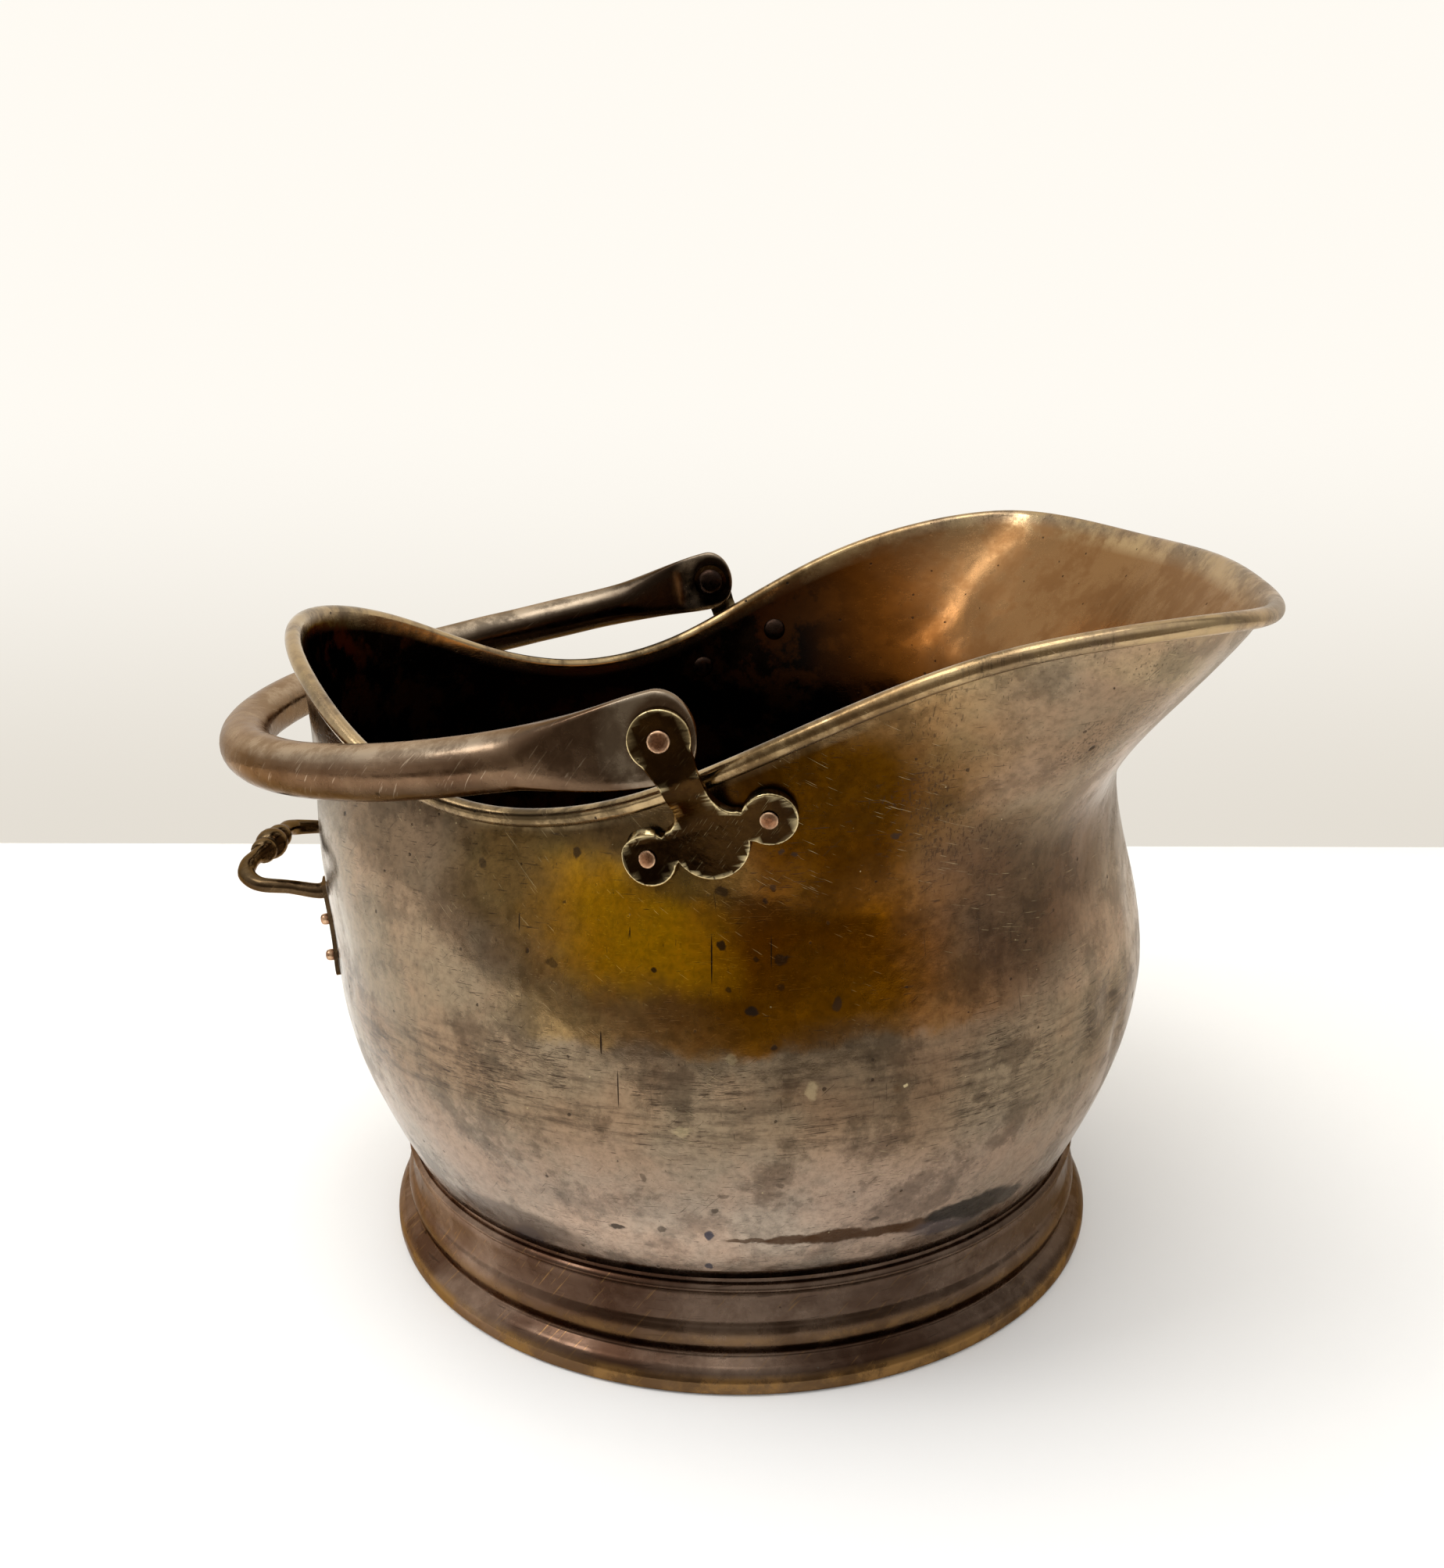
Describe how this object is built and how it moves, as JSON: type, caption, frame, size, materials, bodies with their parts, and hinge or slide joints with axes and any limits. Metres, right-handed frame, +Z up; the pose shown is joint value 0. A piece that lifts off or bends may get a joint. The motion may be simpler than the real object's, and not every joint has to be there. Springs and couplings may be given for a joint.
{
  "type": "helmet coal scuttle",
  "caption": "Helmet-shaped coal scuttle in patinated copper on a spun foot, with a flared spout mouth, a swinging tubular bail in riveted lugs and a small knopped handle at the back.",
  "frame": {"origin": "on the floor plane of the foot's underside, under the middle of the overall outline", "axes": "+X towards the spout, +Y to the left of someone looking along +X, +Z up"},
  "size_m": [0.3335, 0.2926, 0.2319],
  "materials": {
    "copper_patina": "raised copper sheet with a dark brown patina, brass-coloured where it is rubbed",
    "foot_copper": "spun copper, brown patina with green spots",
    "dark_brass": "dark brown aged brass, worn lighter on its edges",
    "rivet_copper": "hammered copper-red rivet heads"
  },
  "bodies": {
    "scuttle": {"body_shell": "copper_patina", "rim_wire": "copper_patina", "bottom_plate": "copper_patina", "foot_ring": "foot_copper", "bail_lug_left": "dark_brass", "bail_lug_right": "dark_brass", "lug_rivet_1": "rivet_copper", "lug_rivet_2": "rivet_copper", "lug_rivet_3": "rivet_copper", "lug_rivet_4": "rivet_copper", "pivot_rivet_left": "rivet_copper", "pivot_rivet_right": "rivet_copper", "pivot_washer_left": "dark_brass", "pivot_washer_right": "dark_brass", "rear_handle": "dark_brass", "rear_handle_rivet_1": "rivet_copper", "rear_handle_rivet_2": "rivet_copper", "rear_handle_rivet_3": "rivet_copper", "rear_handle_rivet_4": "rivet_copper"},
    "bail": {"bail_handle": "dark_brass"}
  },
  "joints": [
    {"name": "bail_swing", "type": "hinge", "parent": "scuttle", "child": "bail", "pos_m": [-0.0112, 0, 0.203], "axis": [0, 1, 0], "range_deg": [-10, 165]}
  ]
}
